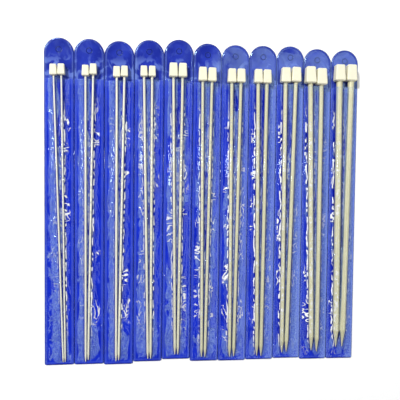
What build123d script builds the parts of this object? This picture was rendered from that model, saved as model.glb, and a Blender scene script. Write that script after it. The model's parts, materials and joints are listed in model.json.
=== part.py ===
from build123d import *
import os
from math import acos, atan2, cos, sin
from typing import NamedTuple

# A row of eleven flat pouches, each holding one pair of straight knitting needles.
# The row lies flat: X runs across it from the finest pair to the thickest, Y runs along
# the needles towards their heads, and Z is up. Millimetres. The origin is the centre of
# the row's footprint, on the surface it lies on.

NEEDLE_LENGTH = 350.0  # from the point to the end of the head
POUCH_LENGTH = 385.0  # from the bottom edge to the top of the rounded tab
POUCH_WIDTH = 33.9
BOTTOM_CORNER = 2.0  # corner radius at the bottom of a pouch
SHEET_THICKNESS = 0.4  # blue back sheet
FILM_THICKNESS = 0.2  # clear front film
SIDE_WELD = 2.4  # width of the heat-welded border along each side
BOTTOM_WELD = 2.2
MOUTH_DEPTH = 47.3  # from the top of the tab down to the open edge of the film

RING_DEPTH_FROM_TOP = 13.8  # centre of the hanging mark pressed into the tab
RING_DIAMETER = 7.6
RING_LINE = 1.2
RING_GROOVE = 0.15

REST_GAP = 0.1  # between a needle and the sheet it lies on
FILM_GAP = 0.3  # between a shaft and the film stretched over it
TOE_HEIGHT = 0.15  # half height of the pocket where the film meets the bottom weld

POINT_PER_GAUGE = 2.8  # length of the tapered point, in shaft diameters
TIP_RADIUS = 0.35
SOCKET_SHARE = 0.7  # how far the shaft reaches into its head
GROOVE_COUNT = 3  # rings rolled into the end of the shaft that the head grips
GROOVE_DEPTH = 0.15
GROOVE_PITCH = 1.6


class Head(NamedTuple):
    """A tapered block with rounded edges, widest where the shaft goes in."""

    width: float
    height: float
    length: float


SMALL = Head(8.7, 8.0, 12.5)
MEDIUM = Head(10.5, 9.6, 16.5)
LARGE = Head(12.0, 10.8, 18.0)
EXTRA_LARGE = Head(13.2, 12.0, 20.0)

HEAD_TAPER = 0.84  # far end width as a share of the end at the shaft
HEAD_EDGE = 0.12  # radius of the long edges as a share of the width
HEAD_SHAFT_BEVEL = 0.1  # bevel round the shaft end as a share of the width
HEAD_FAR_BEVEL = 0.07


class Pair(NamedTuple):
    """One pouch and its two needles; pairs of numbers are for the left and right needle."""

    gauge: float  # shaft diameter
    head: Head
    neck_x: tuple  # where each shaft leaves its head, from the pouch's centre line
    tip_x: tuple  # where each point lies, from the pouch's centre line
    tip_rise: tuple  # height of each point above the pouch's bottom edge
    turn: float  # how far the pouch is turned from straight, in degrees
    shift: float  # how far the pouch is pushed up the row
    gap: float  # space between this pouch and the next, at half height


PAIRS = [
    Pair(2.0, SMALL, (-5.5, 3.4), (4.4, 6.8), (3.0, 3.4), 0.5, 0.8, 0.8),
    Pair(2.5, SMALL, (-3.9, 5.0), (-3.9, -0.9), (3.0, 4.8), 0.4, 0.5, 1.1),
    Pair(2.75, SMALL, (-2.9, 6.0), (-3.0, 0.1), (3.8, 4.7), 0.3, -0.8, 0.95),
    Pair(3.0, SMALL, (-6.3, 3.3), (0.6, 3.9), (3.1, 3.2), 0.1, 1.2, 1.0),
    Pair(3.25, MEDIUM, (-6.8, 4.1), (-1.2, 2.4), (5.7, 5.7), -0.1, 2.5, 0.65),
    Pair(3.5, MEDIUM, (-6.4, 4.8), (-3.0, 1.2), (5.1, 4.8), -0.2, -0.9, 0.25),
    Pair(4.0, MEDIUM, (-5.2, 5.9), (-2.6, 2.4), (4.9, 5.2), -0.2, -1.3, 0.3),
    Pair(4.5, MEDIUM, (-6.9, 3.8), (-3.1, 2.2), (4.8, 4.6), -0.2, -0.7, 0.25),
    Pair(5.0, LARGE, (-7.2, 5.5), (-5.8, -0.2), (7.1, 8.1), -0.2, 0.1, 0.25),
    Pair(6.0, EXTRA_LARGE, (-10.2, 3.4), (-2.6, 4.2), (11.2, 9.5), -0.2, -1.8, 0.9),
    Pair(7.5, EXTRA_LARGE, (-8.6, 6.0), (-5.6, 2.4), (14.9, 15.5), -0.4, -2.5, 0.0),
]

HALF_WIDTH = POUCH_WIDTH / 2
BOTTOM_Y = -POUCH_LENGTH / 2
MOUTH_Y = POUCH_LENGTH / 2 - MOUTH_DEPTH
POCKET_HALF = HALF_WIDTH - SIDE_WELD


def row_planes():
    """The plane each pouch lies in, with the whole row's footprint centred on the origin."""
    planes = []
    x = 0.0
    for pair in PAIRS:
        planes.append(Plane((x, pair.shift, 0)).rotated((0, 0, pair.turn)))
        x += POUCH_WIDTH + pair.gap
    footprint = Compound([plane.from_local_coords(pouch_outline()) for plane in planes])
    centre = footprint.bounding_box().center()
    return [plane.move(Location((-centre.X, -centre.Y, 0))) for plane in planes]


def pouch_outline():
    """A pouch's outline: a strip with a half-round top and small bottom corners."""
    shoulder = POUCH_LENGTH / 2 - HALF_WIDTH
    with BuildSketch() as outline:
        with Locations((0, (shoulder + BOTTOM_Y) / 2)):
            Rectangle(POUCH_WIDTH, shoulder - BOTTOM_Y)
        fillet(outline.vertices().group_by(Axis.Y)[0], BOTTOM_CORNER)
        with Locations((0, shoulder)):
            Circle(HALF_WIDTH)
    return outline.sketch


def back_sheet(lie):
    """The blue sheet, with a ring pressed into its tab."""
    with BuildPart() as back:
        with BuildSketch(lie):
            add(pouch_outline())
        extrude(amount=SHEET_THICKNESS)
        with BuildSketch(lie.offset(SHEET_THICKNESS)):
            with Locations((0, POUCH_LENGTH / 2 - RING_DEPTH_FROM_TOP)):
                Circle(RING_DIAMETER / 2)
                Circle(RING_DIAMETER / 2 - RING_LINE, mode=Mode.SUBTRACT)
        extrude(amount=-RING_GROOVE, mode=Mode.SUBTRACT)
    return back.part


def cross_plane(lie, y):
    """The plane across a pouch at y: its own X is across, its own Y is up."""
    return Plane(lie.from_local_coords((0, y, 0)), x_dir=lie.x_dir, z_dir=-lie.y_dir)


def tangent_point(corner, centre, radius, turn):
    """Where a line from a corner touches a circle; turn is 1 for the right side, -1 for the left."""
    away = Vector(*corner) - Vector(*centre)
    angle = atan2(away.Y, away.X) + turn * acos(radius / away.length)
    return (centre[0] + radius * cos(angle), centre[1] + radius * sin(angle))


def tent_sections(lie, stations, skin):
    """Sections of the film's outer side (skin = its thickness) or its inner side (skin = 0)."""
    corners = [(side * POCKET_HALF, SHEET_THICKNESS + skin) for side in (-1, 1)]
    for y, centres, touch in stations:
        radius = touch + skin
        left, right = [Vector(*centre) for centre in centres]
        across = (right - left).normalized()
        up = Vector(-across.Y, across.X) * radius
        with BuildSketch(cross_plane(lie, y)) as section:
            with BuildLine():
                leaving = tangent_point(corners[0], centres[0], radius, -1)
                landing = tangent_point(corners[1], centres[1], radius, 1)
                Line(corners[1], corners[0])
                Line(corners[0], leaving)
                RadiusArc(leaving, left + up, radius)
                Line(left + up, right + up)
                RadiusArc(right + up, landing, radius)
                Line(landing, corners[1])
            make_face()
        yield section.sketch


def clear_film(lie, stations):
    """The clear film: welded flat round three sides and stretched over the two shafts."""
    outer = list(tent_sections(lie, stations, FILM_THICKNESS))
    inner = list(tent_sections(lie, stations, 0.0))
    with BuildPart() as film:
        with BuildSketch(lie.offset(SHEET_THICKNESS)):
            add(pouch_outline())
            with Locations((0, MOUTH_Y)):
                Rectangle(POUCH_WIDTH, POUCH_LENGTH, align=(Align.CENTER, Align.MIN), mode=Mode.SUBTRACT)
        extrude(amount=FILM_THICKNESS)
        loft(outer, ruled=True)
        loft(inner, ruled=True, mode=Mode.SUBTRACT)
    return film.part


def film_stations(pair, needles):
    """Where the film's shape is set: (y, shaft centres in the section, radius of the film there)."""
    point = pair.gauge * POINT_PER_GAUGE
    foot_y = max(needle.tip.Y for needle in needles) + point
    tip_y = min(needle.tip.Y for needle in needles)
    shaft = pair.gauge / 2 + FILM_GAP
    toe_y = BOTTOM_Y + BOTTOM_WELD
    toe = [(needle.tip.X, SHEET_THICKNESS + TOE_HEIGHT) for needle in needles]
    return [
        (MOUTH_Y, [needle.at(MOUTH_Y) for needle in needles], shaft),
        (foot_y, [needle.at(foot_y) for needle in needles], shaft),
        (tip_y, [needle.at(tip_y) for needle in needles], TIP_RADIUS + FILM_GAP),
        (toe_y, toe, TOE_HEIGHT),
    ]


class Needle:
    """Where one needle lies in its pouch."""

    def __init__(self, pair, side):
        self.pair = pair
        shaft_length = NEEDLE_LENGTH - pair.head.length
        lying = SHEET_THICKNESS + REST_GAP
        self.tip = Vector(pair.tip_x[side], BOTTOM_Y + pair.tip_rise[side], lying + pair.gauge / 2)
        neck = Vector(pair.neck_x[side], self.tip.Y + shaft_length, lying + pair.head.height / 2)
        self.along = (neck - self.tip).normalized()

    def at(self, y):
        """The axis's place across and above the pouch, at y along it."""
        there = self.tip + self.along * ((y - self.tip.Y) / self.along.Y)
        return (there.X, there.Z)

    def plane(self, lie):
        """The plane square to the needle at its tip, with its own Z towards the head."""
        along = lie.from_local_coords(self.tip + self.along) - lie.from_local_coords(self.tip)
        return Plane(lie.from_local_coords(self.tip), x_dir=along.cross(Vector(0, 0, 1)), z_dir=along)


def shaft(pair, plane):
    """A round shaft with a rounded point and, inside the head, rings for the head to grip."""
    radius = pair.gauge / 2
    neck = NEEDLE_LENGTH - pair.head.length
    end = neck + pair.head.length * SOCKET_SHARE
    point = pair.gauge * POINT_PER_GAUGE
    with BuildPart() as turned:
        with BuildSketch(Plane(plane.origin, x_dir=plane.x_dir, z_dir=-plane.y_dir)):
            with BuildLine():
                RadiusArc((0, 0), (TIP_RADIUS, TIP_RADIUS), TIP_RADIUS)
                Polyline((TIP_RADIUS, TIP_RADIUS), (radius, point), (radius, end), (0, end), (0, 0))
            make_face()
        revolve(axis=Axis(plane.origin, plane.z_dir))
        for ring in range(GROOVE_COUNT):
            with BuildSketch(plane.offset(end - GROOVE_PITCH * (ring + 1))):
                Circle(radius)
                Circle(radius - GROOVE_DEPTH, mode=Mode.SUBTRACT)
            extrude(amount=GROOVE_PITCH / 2, mode=Mode.SUBTRACT)
    return turned.part


def head(pair, plane):
    """A tapered moulded block with a blind socket for the shaft."""
    block = pair.head
    neck = NEEDLE_LENGTH - block.length
    with BuildPart() as moulded:
        for distance, share in ((neck, 1.0), (NEEDLE_LENGTH, HEAD_TAPER)):
            with BuildSketch(plane.offset(distance)):
                RectangleRounded(block.width * share, block.height * share, block.width * HEAD_EDGE)
        loft(ruled=True)
        ends = moulded.faces().filter_by(GeomType.PLANE).sort_by(Axis(plane.origin, plane.z_dir))
        chamfer(ends[0].edges(), block.width * HEAD_SHAFT_BEVEL)
        chamfer(ends[-1].edges(), block.width * HEAD_FAR_BEVEL)
        with BuildSketch(plane.offset(neck)):
            Circle(pair.gauge / 2)
        extrude(amount=block.length * SOCKET_SHARE, mode=Mode.SUBTRACT)
    return moulded.part


def write(shape, name):
    shape.label = name
    export_step(shape, f"parts/{name}.step")


os.makedirs("parts", exist_ok=True)
for number, (pair, lie) in enumerate(zip(PAIRS, row_planes()), start=1):
    needles = [Needle(pair, side) for side in (0, 1)]
    film = clear_film(lie, film_stations(pair, needles))
    write(Compound([back_sheet(lie), film]), f"pouch_{number:02d}")
    for side, needle in zip(("left", "right"), needles):
        write(shaft(pair, needle.plane(lie)), f"shaft_{number:02d}_{side}")
        write(head(pair, needle.plane(lie)), f"head_{number:02d}_{side}")
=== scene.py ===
import json
import math

import bmesh
import bpy
import numpy as np
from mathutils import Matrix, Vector


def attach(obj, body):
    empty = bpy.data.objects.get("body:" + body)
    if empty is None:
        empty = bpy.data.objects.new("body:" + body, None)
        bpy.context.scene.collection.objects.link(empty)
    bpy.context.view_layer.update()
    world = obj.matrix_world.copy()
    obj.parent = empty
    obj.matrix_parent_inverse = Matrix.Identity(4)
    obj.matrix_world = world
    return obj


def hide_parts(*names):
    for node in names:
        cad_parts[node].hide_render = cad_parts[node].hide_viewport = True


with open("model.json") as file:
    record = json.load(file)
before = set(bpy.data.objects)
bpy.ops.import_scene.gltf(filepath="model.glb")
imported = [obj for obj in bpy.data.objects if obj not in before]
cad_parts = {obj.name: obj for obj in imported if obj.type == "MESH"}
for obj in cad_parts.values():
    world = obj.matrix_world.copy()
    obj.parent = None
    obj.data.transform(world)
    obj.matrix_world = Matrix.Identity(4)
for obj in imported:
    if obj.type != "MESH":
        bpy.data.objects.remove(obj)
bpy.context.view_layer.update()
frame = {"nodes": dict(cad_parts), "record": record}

MM = 0.001
PAIR_COUNT = 11
SIDES = ("left", "right")

# sizes shared with the CAD part
SHEET_TOP = 0.4 * MM
FILM_THICKNESS = 0.16 * MM
SIDE_WELD = 2.4 * MM
BOTTOM_WELD = 2.2 * MM
MOUTH_DEPTH = 47.3 * MM
HEM_HEIGHT = 6.5 * MM
RING_DEPTH_FROM_TOP = 13.8 * MM
RING_RADIUS = 3.2 * MM
RING_LINE = 1.1 * MM
BOTTOM_CORNER = 2.0 * MM
POINT_PER_GAUGE = 2.8  # length of a needle's point, in shaft diameters
TIP_RADIUS = 0.35 * MM

EDGE_ROUND = 0.06 * MM  # drop of the sheet's top at its rim
FILM_CLEARANCE = 0.12 * MM  # between a shaft and the film over it
FLAT_CLEARANCE = 0.02 * MM  # between the sheet and the film where they are welded
TAB_LIFT = 0.10 * MM  # how far the open tab ripples
WELD_BEAD = 0.14 * MM  # height of the bead along a weld's inner edge
HEM_RIDGE = 0.1 * MM
TABLE_DROP = 0.2 * MM  # the table lies this far below the pouches
LATTICE = 64  # size of the table that the noise repeats over

TAB_TONES = ((0.008, 0.018, 0.30, 1), (0.018, 0.036, 0.42, 1))
COVERED_TONES = ((0.004, 0.017, 0.46, 1), (0.009, 0.03, 0.56, 1))
PRESSED_TONE = (0.001, 0.007, 0.17, 1)
# colour of the painted glare, a painted reflection on the open tab
GLARE_TONE = (0.13, 0.2, 0.62, 1)
# colour of the painted haze, a painted reflection on the film
PAINTED_HAZE_TONE = (0.51, 0.765, 1.0, 1)
# colour of the painted sheen along the film's welds
PAINTED_WELD_SHEEN_TONE = (0.33, 0.5, 1.0, 1)
# colour of the painted highlights on the film's creases and glints
PAINTED_HIGHLIGHT_TONE = (1.0, 1.0, 0.98, 1)
CLEAR_TONE = (0.996, 0.998, 1.0, 1)
# colour of the painted shade beside the shafts
PAINTED_SHAFT_SHADE_TONE = (0.34, 0.46, 0.85, 1)

COLUMNS = 57  # grid lines across a film
FILM_STEP = 1.25 * MM  # distance between grid lines along a film
TAB_STEP = 1.0 * MM
BACK_STEP = 3.5 * MM


# ---------------------------------------------------------------- camera, lights, floor


def make_camera():
    """Looks down on the row from above its fourth pouch, a little to the right."""
    data = bpy.data.cameras.new("camera")
    camera = bpy.data.objects.new("camera", data)
    bpy.context.collection.objects.link(camera)
    data.lens = 48.16
    data.sensor_width = 36.0
    data.clip_end = 20.0
    camera.location = (-0.0815, 0.0138, 0.6448)
    camera.rotation_euler = (math.radians(-1.008), math.radians(-6.695), math.radians(0.622))
    bpy.context.scene.camera = camera


def make_area_light(name, place, aim, size, watts):
    data = bpy.data.lights.new(name, "AREA")
    data.shape = "RECTANGLE"
    data.size, data.size_y = size
    data.energy = watts
    light = bpy.data.objects.new(name, data)
    bpy.context.collection.objects.link(light)
    light.location = place
    light.rotation_euler = (Vector(aim) - Vector(place)).to_track_quat("-Z", "Y").to_euler()


def make_world():
    """A pale studio: bright round the horizon, dimmer overhead where the camera is."""
    world = bpy.data.worlds.new("studio")
    bpy.context.scene.world = world
    world.use_nodes = True
    tree = world.node_tree
    background = tree.nodes["Background"]
    coordinates = tree.nodes.new("ShaderNodeTexCoord")
    split = tree.nodes.new("ShaderNodeSeparateXYZ")
    ramp = tree.nodes.new("ShaderNodeValToRGB")
    tree.links.new(coordinates.outputs["Generated"], split.inputs[0])
    tree.links.new(split.outputs["Z"], ramp.inputs["Fac"])
    tree.links.new(ramp.outputs["Color"], background.inputs["Color"])
    ramp.color_ramp.elements[0].position = 0.45
    ramp.color_ramp.elements[0].color = (1.0, 1.0, 1.0, 1)
    ramp.color_ramp.elements[1].position = 0.95
    ramp.color_ramp.elements[1].color = (0.25, 0.26, 0.28, 1)
    background.inputs["Strength"].default_value = 0.2


def make_studio():
    scene = bpy.context.scene
    scene.view_settings.view_transform = "Standard"
    make_world()
    make_area_light("key", (-1.3, 1.5, 2.1), (0, 0, 0), (0.35, 0.35), 68.0)
    make_area_light("softbox_left", (-1.05, 0, 1.35), (-1.05, 0, 0), (1.0, 1.4), 4.0)
    make_area_light("softbox_right", (0.95, 0, 1.35), (0.95, 0, 0), (1.4, 1.4), 10.0)
    make_area_light("strip_left", (-0.9, 0.1, 0.5), (0, 0, 0), (0.03, 0.8), 1.5)
    make_area_light("strip_back", (-0.1, 1.1, 0.8), (0, 0, 0), (0.8, 0.05), 2.0)
    floor_mesh = bpy.data.meshes.new("floor")
    maker = bmesh.new()
    bmesh.ops.create_grid(maker, x_segments=1, y_segments=1, size=3.0)
    maker.to_mesh(floor_mesh)
    maker.free()
    floor = bpy.data.objects.new("floor", floor_mesh)
    bpy.context.collection.objects.link(floor)
    floor.location.z = -TABLE_DROP
    floor.data.materials.append(paper_material())


# ---------------------------------------------------------------- materials


class Nodes:
    """Short calls for building a material's node tree."""

    def __init__(self, name):
        self.material = bpy.data.materials.new(name)
        self.material.use_nodes = True
        self.tree = self.material.node_tree
        self.tree.nodes.clear()
        self.output = self.add("ShaderNodeOutputMaterial")

    def add(self, kind, **inputs):
        node = self.tree.nodes.new(kind)
        for key, value in inputs.items():
            self.set(node, key.replace("_", " "), value)
        return node

    def set(self, node, key, value):
        socket = node.inputs[key]
        if isinstance(value, bpy.types.NodeSocket):
            self.tree.links.new(value, socket)
        else:
            socket.default_value = value

    def math(self, operation, first, second=0.0, clamp=False):
        node = self.tree.nodes.new("ShaderNodeMath")
        node.operation = operation
        node.use_clamp = clamp
        self.set(node, 0, first)
        self.set(node, 1, second)
        return node.outputs[0]

    def fade(self, value, low, high, start=0.0, end=1.0):
        """Rises smoothly from start to end as value goes from low to high."""
        node = self.tree.nodes.new("ShaderNodeMapRange")
        node.interpolation_type = "SMOOTHSTEP"
        node.inputs["To Min"].default_value = start
        node.inputs["To Max"].default_value = end
        for key, item in (("Value", value), ("From Min", low), ("From Max", high)):
            self.set(node, key, item)
        return node.outputs["Result"]

    def near(self, value, centre, full, none):
        """1 where value is within full of centre, fading to 0 where it is none away."""
        off = self.math("ABSOLUTE", self.math("SUBTRACT", value, centre))
        return self.fade(off, full, none, 1.0, 0.0)

    def product(self, first, *others):
        for other in others:
            first = self.math("MULTIPLY", first, other)
        return first

    def mix_colour(self, share, first, second):
        node = self.tree.nodes.new("ShaderNodeMix")
        node.data_type = "RGBA"
        self.set(node, 0, share)
        for socket, value in ((node.inputs[6], first), (node.inputs[7], second)):
            if isinstance(value, bpy.types.NodeSocket):
                self.tree.links.new(value, socket)
            else:
                socket.default_value = value
        return node.outputs[2]

    def noise(self, place, scale, detail=2.0, roughness=0.5, distortion=0.0):
        node = self.add("ShaderNodeTexNoise", Vector=place, Scale=scale)
        node.inputs["Detail"].default_value = detail
        node.inputs["Roughness"].default_value = roughness
        node.inputs["Distortion"].default_value = distortion
        return node.outputs["Fac"]

    def stretched(self, factors):
        """Object coordinates, scaled by a factor along each axis."""
        place = self.add("ShaderNodeTexCoord").outputs["Object"]
        node = self.tree.nodes.new("ShaderNodeMapping")
        node.inputs["Scale"].default_value = factors
        self.tree.links.new(place, node.inputs["Vector"])
        return node.outputs["Vector"]

    def bump(self, height, strength, distance, below=None):
        node = self.add("ShaderNodeBump", Height=height, Strength=strength, Distance=distance)
        if below is not None:
            self.tree.links.new(below, node.inputs["Normal"])
        return node.outputs["Normal"]

    def attribute(self, name):
        """The three numbers of a mesh attribute."""
        node = self.tree.nodes.new("ShaderNodeAttribute")
        node.attribute_name = name
        return self.split(node.outputs["Vector"])

    def split(self, vector):
        node = self.tree.nodes.new("ShaderNodeSeparateXYZ")
        self.tree.links.new(vector, node.inputs[0])
        return node.outputs

    def mix_shaders(self, share, first, second):
        node = self.add("ShaderNodeMixShader")
        for key, value in ((0, share), (1, first), (2, second)):
            self.tree.links.new(value, node.inputs[key])
        return node.outputs[0]

    def finish(self, shader):
        self.tree.links.new(shader, self.output.inputs["Surface"])
        return self.material


def paper_material():
    """The plain white table."""
    nodes = Nodes("white_table")
    grain = nodes.noise(nodes.stretched((1, 1, 1)), 900.0)
    tint = nodes.mix_colour(grain, (0.97, 0.97, 0.97, 1), (1.0, 1.0, 1.0, 1))
    shader = nodes.add("ShaderNodeBsdfPrincipled", Base_Color=tint, Roughness=0.85)
    return nodes.finish(shader.outputs[0])


def blue_vinyl_material(covered):
    """Royal blue vinyl: deep under the film, glossy on the open tab with painted glare patches, darker at
    its rim and ring.
    """
    nodes = Nodes("blue_vinyl_covered" if covered else "blue_vinyl")
    place = nodes.stretched((1, 1, 1))
    across, down, rim = nodes.attribute("lie")
    ring_down = nodes.math("ADD", down, RING_DEPTH_FROM_TOP)
    squares = nodes.math("ADD", nodes.math("POWER", across, 2.0), nodes.math("POWER", ring_down, 2.0))
    off_line = nodes.math("ABSOLUTE", nodes.math("SUBTRACT", nodes.math("SQRT", squares), RING_RADIUS))
    groove = nodes.fade(off_line, 0.35 * RING_LINE, 0.6 * RING_LINE)
    pressed = nodes.product(groove, nodes.fade(rim, 0.3 * MM, 0.9 * MM))
    mottle_and_painted_haze = nodes.noise(place, 45.0, 3.0)
    fine = nodes.noise(place, 1400.0, 3.0, 0.6)
    tones = COVERED_TONES if covered else TAB_TONES
    body = nodes.mix_colour(nodes.fade(mottle_and_painted_haze, 0.35, 0.68), *tones)
    # painted reflection: glare patches lighten the tab, most in its lower part above the heads; under the
    # film they lighten the sheet to its lighter tone
    glare = nodes.fade(nodes.noise(nodes.stretched((1.0, 0.8, 1.0)), 62.0, 2.0, 0.45, 1.6), 0.5, 0.62)
    glare = nodes.product(glare, nodes.fade(down, -17.0 * MM, -30.0 * MM, 0.12, 0.8))
    body = nodes.mix_colour(glare, body, tones[1] if covered else GLARE_TONE)
    colour = nodes.mix_colour(pressed, PRESSED_TONE, body)
    waves = nodes.noise(nodes.stretched((0.7, 1.0, 1.0)), 45.0, 1.5, 0.5, 0.4)
    normal = nodes.bump(waves, 0.5, 3.0 * MM)
    normal = nodes.bump(fine, 0.12, 0.03 * MM, normal)
    normal = nodes.bump(groove, 0.8, 0.3 * MM, normal)
    normal = nodes.bump(nodes.near(rim, 1.7 * MM, 0.0, 0.8 * MM), 1.0, 0.3 * MM, normal)
    shader = nodes.add(
        "ShaderNodeBsdfPrincipled",
        Base_Color=colour,
        Roughness=nodes.fade(fine, 0.2, 0.8, 0.13, 0.22),
        Normal=normal,
    )
    shader.inputs["IOR"].default_value = 1.15 if covered else 1.95
    shader.inputs["Specular Tint"].default_value = (0.6, 0.86, 1.0, 1)
    return nodes.finish(shader.outputs[0])


def film_creases(nodes, free, beside, wrinkled):
    """Sharp creases from 0 to 1: a broken line beside each shaft, curls, and rungs across the film; the
    mask bumps the film and is painted white as highlights.
    """
    tall = nodes.stretched((1.0, 0.45, 1.0))
    creased = nodes.noise(nodes.stretched((1.0, 0.6, 1.0)), 32.0, 1.0)
    course = nodes.math("ADD", nodes.math("MULTIPLY", nodes.noise(tall, 190.0, 1.0), 3.2 * MM), -0.2 * MM)
    dashes = nodes.fade(nodes.noise(tall, 340.0, 1.0), 0.45, 0.51)
    line = nodes.near(beside, course, 0.45 * MM, 0.85 * MM)
    line = nodes.product(line, dashes, nodes.fade(creased, 0.36, 0.42))
    curls = nodes.near(nodes.noise(tall, 120.0, 1.5, 0.5, 1.4), 0.5, 0.018, 0.04)
    curls = nodes.product(curls, nodes.fade(creased, 0.57, 0.61))
    level = nodes.noise(nodes.stretched((0.3, 1.0, 1.0)), 150.0, 1.0, 0.5, 0.5)
    rungs = nodes.near(level, 0.5, 0.025, 0.05)
    rungs = nodes.product(rungs, nodes.fade(beside, 9.0 * MM, 6.0 * MM), nodes.fade(creased, 0.41, 0.38))
    creases_here = nodes.math("MAXIMUM", nodes.math("MAXIMUM", line, curls), rungs)
    clear_of_shaft = nodes.fade(beside, 0.15 * MM, 0.6 * MM)
    return nodes.product(creases_here, free, clear_of_shaft, wrinkled)


def film_glints(nodes, beside, wrinkled):
    """Painted glints: small white highlights painted where the film is pulled over a shaft."""
    spots = nodes.noise(nodes.stretched((1.0, 0.7, 1.0)), 300.0, 1.0, 0.5, 0.5)
    over_shaft = nodes.fade(beside, -0.2 * MM, -0.5 * MM)
    return nodes.product(nodes.fade(spots, 0.57, 0.62), over_shaft, nodes.fade(wrinkled, 0.3, 0.8), 0.6)


def clear_vinyl_material():
    """Clear glossy film: a painted bluish haze stands in for reflections where it stands off, with
    painted white highlights along its creases and painted shade beside the shafts.
    """
    nodes = Nodes("clear_vinyl")
    gap, painted_seam_sheen, beside = nodes.attribute("stand")
    haze_cut, wrinkled, outside = nodes.attribute("lean")
    free = nodes.fade(gap, 0.02, 0.12)
    patches = nodes.noise(nodes.stretched((1.0, 0.22, 1.0)), 66.0, 2.5, 0.5, 1.0)
    standing = nodes.math("ADD", patches, nodes.math("MULTIPLY", gap, 0.2))
    standing = nodes.fade(nodes.math("SUBTRACT", standing, haze_cut), 0.55, 0.565)
    ridges = film_creases(nodes, free, beside, wrinkled)
    fine = nodes.noise(nodes.stretched((1.0, 1.0, 1.0)), 520.0, 2.0, 0.6, 0.8)
    soft = nodes.bump(standing, 0.8, 0.5 * MM)
    soft = nodes.bump(fine, 0.35, 0.08 * MM, soft)
    sharp = nodes.bump(ridges, 1.0, 0.5 * MM, soft)
    # painted haze: a stippled bluish diffuse layer stands in for the reflections where the film stands
    # off
    stipple = nodes.fade(fine, 0.35, 0.65, 0.5, 1.65)
    mottle_and_painted_haze = nodes.product(standing, free, 0.14, stipple, nodes.fade(beside, 0.5 * MM, 1.3 * MM))
    # painted seam sheen: more haze along the welds, hem, mouth edge and folds
    mottle_and_painted_haze = nodes.math("ADD", mottle_and_painted_haze, nodes.math("MULTIPLY", painted_seam_sheen, 0.12))
    # painted highlights: the creases and glints are painted white into the film's diffuse layer
    white = nodes.math("ADD", ridges, film_glints(nodes, beside, wrinkled), clamp=True)
    painted_haze_and_highlights = nodes.math("ADD", mottle_and_painted_haze, nodes.math("MULTIPLY", white, 0.92), clamp=True)
    # tint of the painted haze: bluer along the seams, white on the painted highlights
    tint = nodes.mix_colour(nodes.fade(painted_seam_sheen, 0.2, 1.0), PAINTED_HAZE_TONE, PAINTED_WELD_SHEEN_TONE)
    tint = nodes.mix_colour(nodes.fade(white, 0.0, 0.25), tint, PAINTED_HIGHLIGHT_TONE)
    facing = nodes.add("ShaderNodeLayerWeight", Normal=sharp).outputs["Facing"]
    grazing = nodes.math("MULTIPLY", nodes.math("POWER", facing, 5.0), 0.6)
    mirror = nodes.product(nodes.math("ADD", grazing, 0.045), outside)
    # painted shade: the film's transparent colour darkens a narrow line beside each shaft, standing in
    # for the shadow under it, except along the seams
    painted_shaft_shade = nodes.near(beside, 0.8 * MM, 0.25 * MM, 0.75 * MM)
    painted_shaft_shade = nodes.product(painted_shaft_shade, nodes.fade(painted_seam_sheen, 0.3, 0.05))
    seen = nodes.mix_colour(painted_shaft_shade, CLEAR_TONE, PAINTED_SHAFT_SHADE_TONE)
    through = nodes.add("ShaderNodeBsdfTransparent", Color=seen)
    # diffuse layer that carries the painted haze and the painted highlights
    painted_haze_bsdf = nodes.add("ShaderNodeBsdfDiffuse", Color=tint, Normal=soft)
    shine = nodes.add("ShaderNodeBsdfGlossy", Color=(0.72, 0.9, 1.0, 1), Roughness=0.07, Normal=sharp)
    clear = nodes.mix_shaders(painted_haze_and_highlights, through.outputs[0], painted_haze_bsdf.outputs[0])
    return nodes.finish(nodes.mix_shaders(mirror, clear, shine.outputs[0]))


def pearl_material():
    """Pale champagne anodised shafts, drawn lengthwise, with a painted highlight that makes them lighter
    towards the finest pairs.
    """
    nodes = Nodes("pearl_shaft")
    drawn = nodes.noise(nodes.stretched((1.0, 0.02, 1.0)), 2600.0, 3.0, 0.6)
    mottle_and_painted_haze = nodes.noise(nodes.stretched((1, 0.3, 1)), 60.0, 2.0)
    tint = nodes.mix_colour(mottle_and_painted_haze, (0.60, 0.575, 0.375, 1), (0.70, 0.675, 0.455, 1))
    # painted highlight: the shafts are painted lighter towards the finest pairs
    along_row = nodes.split(nodes.stretched((1, 1, 1)))[0]
    tint = nodes.mix_colour(nodes.fade(along_row, 0.05, -0.13), tint, (0.86, 0.84, 0.69, 1))
    shader = nodes.add(
        "ShaderNodeBsdfPrincipled",
        Base_Color=tint,
        Metallic=0.15,
        Roughness=nodes.fade(drawn, 0.3, 0.7, 0.3, 0.42),
        Normal=nodes.bump(drawn, 0.15, 0.02 * MM),
    )
    return nodes.finish(shader.outputs[0])


def ivory_material():
    """Moulded ivory plastic, slightly uneven."""
    nodes = Nodes("ivory_head")
    place = nodes.stretched((1, 1, 1))
    mottle = nodes.noise(place, 220.0, 3.0)
    fine = nodes.noise(place, 1600.0, 2.0)
    tint = nodes.mix_colour(mottle, (0.82, 0.79, 0.60, 1), (0.87, 0.84, 0.65, 1))
    shader = nodes.add(
        "ShaderNodeBsdfPrincipled",
        Base_Color=tint,
        Roughness=nodes.fade(fine, 0.3, 0.7, 0.34, 0.46),
        Normal=nodes.bump(fine, 0.2, 0.03 * MM),
    )
    shader.inputs["Subsurface Weight"].default_value = 0.12
    shader.inputs["Subsurface Radius"].default_value = (0.003, 0.003, 0.002)
    return nodes.finish(shader.outputs[0])


# ---------------------------------------------------------------- where things lie


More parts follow.
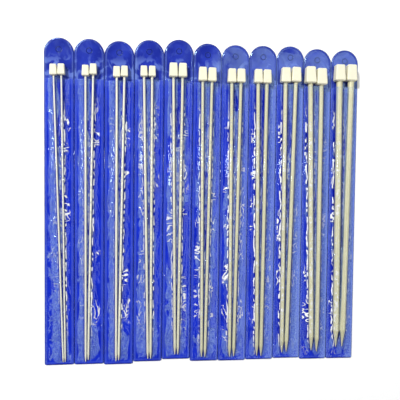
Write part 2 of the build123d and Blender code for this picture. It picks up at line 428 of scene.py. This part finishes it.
class Pouch:
    """A pouch's own frame, read from its CAD solid: u is across, w is along, from its middle."""

    def __init__(self, number):
        self.name = f"pouch_{number:02d}"
        self.number = number
        corners = [vertex.co for vertex in frame["nodes"][self.name].data.vertices]
        underside = np.array([(p.x, p.y) for p in corners if p.z < 0.01 * MM])
        turns = np.radians(np.linspace(-1.5, 1.5, 601))
        widths = [np.ptp(underside @ (math.cos(turn), math.sin(turn))) for turn in turns]
        self.turn = turns[int(np.argmin(widths))]
        self.across = np.array((math.cos(self.turn), math.sin(self.turn)))
        self.along = np.array((-self.across[1], self.across[0]))
        u, w = underside @ self.across, underside @ self.along
        self.half_width = np.ptp(u) / 2
        self.half_length = np.ptp(w) / 2
        self.centre = self.across * (u.min() + u.max()) / 2 + self.along * (w.min() + w.max()) / 2
        self.bottom = -self.half_length
        self.mouth = self.half_length - MOUTH_DEPTH
        self.shoulder = self.half_length - self.half_width
        self.needles = [NeedleLine(self, side) for side in SIDES]
        self.room = {-1: (0.0, 0.0), 1: (0.0, 0.0)}

    def edge_point(self, side, w):
        return self.centre + side * self.half_width * self.across + w * self.along

    def meet(self, neighbour):
        """Both pouches spread by half of the gap between them, which narrows or widens along them."""
        for pouch, other, side in ((self, neighbour, 1), (neighbour, self, -1)):
            gaps = [
                side * (other.edge_point(-side, w) - pouch.edge_point(side, w)) @ pouch.across
                for w in (pouch.bottom, pouch.shoulder)
            ]
            pouch.room[side] = [gap / 2 for gap in gaps]

    def spread(self, u, w):
        """u moved outwards so that the pouch's long edges meet its neighbours."""
        share = np.clip((w - self.bottom) / (self.shoulder - self.bottom), 0, 1)
        fade = 1 - np.clip((w - self.shoulder) / (0.6 * self.half_width), 0, 1)
        left = self.room[-1][0] * (1 - share) + self.room[-1][1] * share
        right = self.room[1][0] * (1 - share) + self.room[1][1] * share
        outer = np.clip((np.abs(u) / self.half_width - 0.8) / 0.2, 0, 1)
        return u + outer * fade * np.where(u < 0, -left, right)

    def to_row(self, u, w, z):
        """Row coordinates of points given across, along and above the pouch."""
        flat = self.centre + np.outer(self.spread(u, w), self.across) + np.outer(w, self.along)
        return np.column_stack((flat, z))

    def from_row(self, points):
        flat = np.asarray(points)[:, :2] - self.centre
        return np.column_stack((flat @ self.across, flat @ self.along, np.asarray(points)[:, 2]))


class NeedleLine:
    """A shaft's axis and radius in its pouch's frame."""

    def __init__(self, pouch, side):
        mesh = frame["nodes"][f"shaft_{pouch.number:02d}_{side}"].data
        points = pouch.from_row([vertex.co[:] for vertex in mesh.vertices])
        name = f"needle_{pouch.number:02d}_{side}_slide"
        joints = frame["record"]["behaviour"]["joints"]
        axis = next(joint["axis"] for joint in joints if joint["name"] == name)
        self.axis = np.array((np.dot(axis[:2], pouch.across), np.dot(axis[:2], pouch.along), axis[2]))
        reach = points @ self.axis
        end = points[reach > reach.max() - 0.02 * MM].mean(axis=0)
        self.tip = end - self.axis * np.ptp(reach)
        off = points - self.tip
        self.radius = np.linalg.norm(off - np.outer(off @ self.axis, self.axis), axis=1).max()
        self.point = POINT_PER_GAUGE * 2 * self.radius

    def at(self, w):
        """(u, z, radius) of the shaft where it crosses w; the radius is 0 beyond the point."""
        distance = (w - self.tip[1]) / self.axis[1]
        here = self.tip + np.outer(distance, self.axis)
        share = np.clip(distance / self.point, 0, 1)
        radius = TIP_RADIUS + (self.radius - TIP_RADIUS) * share
        return here[:, 0], here[:, 2], np.where(distance > 0, radius, 0.0)


# ---------------------------------------------------------------- noise


def lattice_noise(x, y, seed):
    """Smooth noise from -1 to 1 over a unit lattice, the same for the same seed."""
    table = np.random.default_rng(seed).uniform(-1, 1, (LATTICE, LATTICE))
    column, row = np.floor(x).astype(int), np.floor(y).astype(int)
    fx, fy = x - column, y - row
    fx, fy = fx * fx * (3 - 2 * fx), fy * fy * (3 - 2 * fy)

    def corner(step_x, step_y):
        return table[(column + step_x) % LATTICE, (row + step_y) % LATTICE]

    low = corner(0, 0) * (1 - fx) + corner(1, 0) * fx
    high = corner(0, 1) * (1 - fx) + corner(1, 1) * fx
    return low * (1 - fy) + high * fy


def creases(u, w, size, seed):
    """Sharp-topped folds of about that size, from 0 to 1, running mostly along the pouch."""
    bend = lattice_noise(u / (3 * size), w / (4 * size), seed + 1)
    sway = lattice_noise(u / (2 * size), w / (3 * size), seed + 2)
    fold = lattice_noise(u / size + 1.2 * bend, w / (3.2 * size) + 1.4 * sway, seed)
    return 1 - np.minimum(1, 2.2 * np.abs(fold))


# ---------------------------------------------------------------- meshes


def sheet_mesh(name, rows, columns, top, bottom):
    """A closed sheet: two grids of points, top and bottom, joined round their edge."""
    count = rows * columns
    points = np.vstack((top, bottom))
    index = np.arange(count).reshape(rows, columns)
    quads = np.stack((index[:-1, :-1], index[:-1, 1:], index[1:, 1:], index[1:, :-1]), axis=-1)
    quads = quads.reshape(-1, 4)
    rim = np.concatenate((index[0, :], index[1:, -1], index[-1, -2::-1], index[-2:0:-1, 0]))
    after = np.roll(rim, -1)
    skirt = np.stack((after, rim, rim + count, after + count), axis=-1)
    faces = np.vstack((quads, quads[:, ::-1] + count, skirt))
    mesh = bpy.data.meshes.new(name)
    mesh.from_pydata(points.tolist(), [], faces.tolist())
    mesh.polygons.foreach_set("use_smooth", [True] * len(mesh.polygons))
    mesh.update()
    return mesh


def add_piece(name, mesh, materials, body):
    piece = bpy.data.objects.new(name, mesh)
    bpy.context.collection.objects.link(piece)
    for material in materials:
        mesh.materials.append(material)
    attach(piece, body)
    return piece


def steps(start, end, size):
    return np.linspace(start, end, max(2, int(round((end - start) / size)) + 1))


def corner_inset(pouch, w_lines):
    """How far a pouch's rounded bottom corners draw in its long edges."""
    low = np.maximum(0, BOTTOM_CORNER - (w_lines - pouch.bottom))
    return BOTTOM_CORNER - np.sqrt(np.maximum(BOTTOM_CORNER**2 - low**2, 0))


def make_back_sheet(pouch, materials):
    """The blue sheet, rounded at its rim and barely rippled."""
    arc = np.sin(np.linspace(0, math.pi / 2, 26)) * pouch.half_width
    corner = np.array((0.0, 0.4, 1.2)) * MM + pouch.bottom
    w_lines = np.concatenate((
        corner,
        steps(pouch.bottom + BOTTOM_CORNER, pouch.mouth, BACK_STEP),
        steps(pouch.mouth, pouch.shoulder, TAB_STEP)[1:],
        pouch.shoulder + arc[1:],
    ))
    over = np.maximum(0, w_lines - pouch.shoulder)
    half = np.sqrt(np.maximum(pouch.half_width**2 - over**2, (0.3 * MM) ** 2))
    half -= corner_inset(pouch, w_lines)
    spread = np.sin(np.linspace(-1, 1, COLUMNS) * math.pi / 2 * 0.9) / math.sin(math.pi / 2 * 0.9)
    u = np.outer(half, spread).ravel()
    w = np.repeat(w_lines, COLUMNS)
    tab = np.clip((w - pouch.mouth) / (20 * MM), 0, 1)
    lift = tab * TAB_LIFT * (1 + lattice_noise(u / (9 * MM), w / (12 * MM), 40 + pouch.number))
    edge = np.repeat(half, COLUMNS) - np.abs(u)
    rounding = EDGE_ROUND * np.exp(-edge / (0.3 * MM))
    top = pouch.to_row(u, w, SHEET_TOP + lift - rounding)
    bottom = pouch.to_row(u, w, lift * 0.3 + 0 * u)
    mesh = sheet_mesh(f"back_sheet_{pouch.number:02d}", len(w_lines), COLUMNS, top, bottom)
    rim = np.minimum(pouch.half_width - np.hypot(u, np.maximum(0, w - pouch.shoulder)), w - pouch.bottom)
    lie = np.column_stack((u, w - pouch.half_length, rim))
    attribute = mesh.attributes.new("lie", "FLOAT_VECTOR", "POINT")
    attribute.data.foreach_set("vector", np.vstack((lie, lie)).ravel())
    for face in mesh.polygons:
        heights = [w[corner % len(w)] for corner in face.vertices]
        face.material_index = int(max(heights) <= pouch.mouth + 0.01 * MM)
    return add_piece(mesh.name, mesh, materials, f"{pouch.name}_body")


def film_height(pouch, u, w):
    """(height of the film's underside, how far it stands off from 0 to 1, distance beside a shaft)."""
    inner = pouch.half_width - SIDE_WELD
    thin = 1 - np.clip((pouch.needles[0].radius - 1.0 * MM) / (2.0 * MM), 0, 1)
    power = 1.15 + 1.9 * thin
    floor = SHEET_TOP + FLAT_CLEARANCE
    (ul, zl, rl), (ur, zr, rr) = pouch.needles[0].at(w), pouch.needles[1].at(w)
    foot = np.clip((w - pouch.bottom - BOTTOM_WELD) / (pouch.needles[0].point + 6 * MM), 0, 1)
    foot = foot * foot * (3 - 2 * foot)
    peak_left = floor + (zl + rl + FILM_CLEARANCE - floor) * foot
    peak_right = floor + (zr + rr + FILM_CLEARANCE - floor) * foot
    left_share = np.clip((u + inner) / np.maximum(ul + inner, 1e-6), 0, 1)
    right_share = np.clip((inner - u) / np.maximum(inner - ur, 1e-6), 0, 1)
    between = np.clip((u - ul) / np.maximum(ur - ul, 1e-6), 0, 1)
    side_left = floor + (peak_left - floor) * left_share**power
    side_right = floor + (peak_right - floor) * right_share**power
    sag = (0.10 + 0.55 * thin) * 4 * between * (1 - between)
    middle = floor + (peak_left * (1 - between) + peak_right * between - floor) * (1 - sag)
    height = np.where(u < ul, side_left, np.where(u > ur, side_right, middle))
    inside = np.minimum(np.abs(inner - np.abs(u)), w - pouch.bottom - BOTTOM_WELD)
    free = np.clip(inside / (4 * MM), 0, 1) * (np.abs(u) < inner) * (w > pouch.bottom + BOTTOM_WELD)
    lower = 1 - np.clip((w - pouch.bottom) / (2 * pouch.half_length), 0, 1)
    amount = (0.25 + 0.75 * thin) * (0.55 + 0.65 * lower)
    large = creases(u, w, 9 * MM, 100 + 7 * pouch.number)
    small = creases(u, w, 4 * MM, 300 + 7 * pouch.number)
    height = height + free * amount * (0.75 * MM * large**2 + 0.35 * MM * small**2)
    for at_u, at_z, radius in ((ul, zl, rl), (ur, zr, rr)):
        near = np.clip(1 - ((u - at_u) / np.maximum(radius + FILM_CLEARANCE, 1e-6)) ** 2, 0, 1)
        crest = at_z + (radius + FILM_CLEARANCE) * np.sqrt(near)
        height = np.where((near > 0) & (radius > 0), np.maximum(height, crest), height)
    beside = np.full_like(height, 20 * MM)
    for at_u, radius in ((ul, rl), (ur, rr)):
        beside = np.where(radius > 0, np.minimum(beside, np.abs(u - at_u) - radius), beside)
    touching = np.clip(-beside / (0.3 * MM), 0, 1)
    height = np.maximum(height, floor)
    welded = (np.abs(u) > inner) | (w < pouch.bottom + BOTTOM_WELD)
    height = np.where(welded, floor, height)
    off = np.clip((height - floor) / (2.2 * MM), 0, 1) * (1 - touching)
    return height, np.where(welded, 0.0, off), beside


def film_lean(pouch, u, w):
    """(how far the painted haze is held back, how wrinkled it is), which differ with thickness and side.
    """
    left_line, right_line = (line.at(w)[0] for line in pouch.needles)
    share = np.clip((u - left_line) / np.maximum(right_line - left_line, 1e-6), 0, 1)
    thick = np.clip((pouch.number - 3) / 5, 0, 1)
    between = 4 * share * (1 - share)
    reach = (52 - 22 * thick) * MM
    foot = (1 - 0.3 * thick) * np.exp(-(((w - pouch.bottom) / reach) ** 4))
    mouth = np.exp(-(((pouch.mouth - w) / (40 * MM)) ** 4))
    # painted reflection by side: the haze cut is lower on the left of thin pairs and on the right of
    # thick ones, so the painted haze falls there
    haze_cut = 0.22 * (2 * thick - 1) * (1 - 2 * share) * (1 - foot) + 0.12 * between * (1 - foot)
    haze_cut = haze_cut - 0.12 * foot - 0.03 * mouth
    wrinkled = ((0.15 + 0.85 * thick) * (1 - share) + (1 - 0.85 * thick) * share) * (1 - 0.75 * between)
    wrinkled = wrinkled * (1 - foot) * (1 - 0.95 * mouth)
    return haze_cut, np.clip(wrinkled, 0, 1)


def painted_fold_streaks(pouch, u, w):
    """Painted light streaks down from the mouth beside both welds; on the thickest pairs, a painted light
    line along a fold to the left point.
    """
    inner = pouch.half_width - SIDE_WELD
    tip = pouch.needles[0].tip
    rise = np.clip((w - tip[1] + 3 * MM) / (30 * MM), 0, 1)
    fold = -inner + 1.5 * MM + (tip[0] + inner - 3.5 * MM) * (1 - rise) ** 2
    shown = (pouch.number >= 9) * (w > tip[1] - 3 * MM) * (1 - rise)
    inset = (2.4 + 0.7 * np.sin(2.4 * pouch.number)) * MM
    streak = np.exp(-(((np.abs(u) - inner + inset) / (0.7 * MM)) ** 2))
    streak = streak * np.exp(-(((pouch.mouth - w) / (32 * MM)) ** 2))
    return shown * np.exp(-(((u - fold) / (0.6 * MM)) ** 2)) + 0.5 * streak


def make_film(pouch, material):
    """The clear film: flat at its welds, stretched over the shafts and creased between them."""
    w_lines = steps(pouch.bottom, pouch.mouth, FILM_STEP)
    half = pouch.half_width - corner_inset(pouch, w_lines)
    u = np.outer(half, np.linspace(-1, 1, COLUMNS)).ravel()
    w = np.repeat(w_lines, COLUMNS)
    height, gap, beside = film_height(pouch, u, w)
    inner = pouch.half_width - SIDE_WELD
    off_seam = np.minimum(np.abs(np.abs(u) - inner), np.abs(w - pouch.bottom - BOTTOM_WELD))
    bead = np.exp(-((off_seam / (0.45 * MM)) ** 2))
    hem = np.exp(-(((w - pouch.mouth + HEM_HEIGHT) / (0.7 * MM)) ** 2))
    bottom = pouch.to_row(u, w, height)
    top = pouch.to_row(u, w, height + FILM_THICKNESS + WELD_BEAD * bead + HEM_RIDGE * hem)
    mesh = sheet_mesh(f"clear_film_{pouch.number:02d}", len(w_lines), COLUMNS, top, bottom)
    # painted seam sheen, added to the film's haze: a lighter hem band, highlights along the mouth's edge,
    # the weld beads and the rim, a painted reflection on the right slope of the thicker pouches, and the
    # fold streaks
    in_hem = 0.35 * (w > pouch.mouth - HEM_HEIGHT)
    edge = np.exp(-(((w - pouch.mouth) / (1.0 * MM)) ** 2))
    from_rim = pouch.half_width - np.abs(u)
    rim_highlight = 1.1 * np.exp(-(((from_rim - 1.5 * MM) / (0.4 * MM)) ** 2))
    off_right = u - np.repeat(pouch.needles[1].at(w_lines)[0], COLUMNS) - 3.5 * MM
    right_slope_sheen = 2.0 * np.clip((pouch.number - 5) / 4, 0, 1) * np.clip(off_right / (3 * MM), 0, 1)
    painted_seam_sheen = in_hem + edge + bead + rim_highlight + right_slope_sheen + 4.0 * painted_fold_streaks(pouch, u, w)
    stand = np.column_stack((gap, painted_seam_sheen, beside))
    haze_cut, wrinkled = film_lean(pouch, u, w)
    outside, inside = (np.column_stack((haze_cut, wrinkled, 0 * u + facing)) for facing in (1, 0))
    attribute = mesh.attributes.new("stand", "FLOAT_VECTOR", "POINT")
    attribute.data.foreach_set("vector", np.vstack((stand, stand * (0, 0, 1))).ravel())
    attribute = mesh.attributes.new("lean", "FLOAT_VECTOR", "POINT")
    attribute.data.foreach_set("vector", np.vstack((outside, inside)).ravel())
    return add_piece(mesh.name, mesh, [material], f"{pouch.name}_body")


def finish_needles(number, shaft_material, head_material):
    """Gives the CAD shafts and heads their materials."""
    for side in SIDES:
        shaft = frame["nodes"][f"shaft_{number:02d}_{side}"]
        head = frame["nodes"][f"head_{number:02d}_{side}"]
        for node, material in ((shaft, shaft_material), (head, head_material)):
            node.data.materials.clear()
            node.data.materials.append(material)


# ---------------------------------------------------------------- build

make_camera()
make_studio()
blue_vinyl = [blue_vinyl_material(covered) for covered in (False, True)]
clear_vinyl = clear_vinyl_material()
pearl = pearl_material()
ivory = ivory_material()
pouches = [Pouch(number) for number in range(1, PAIR_COUNT + 1)]
for pouch, neighbour in zip(pouches, pouches[1:]):
    pouch.meet(neighbour)
for pouch in pouches:
    back = make_back_sheet(pouch, blue_vinyl)
    film = make_film(pouch, clear_vinyl)
    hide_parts(pouch.name)
    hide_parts(pouch.name)
    finish_needles(pouch.number, pearl, ivory)
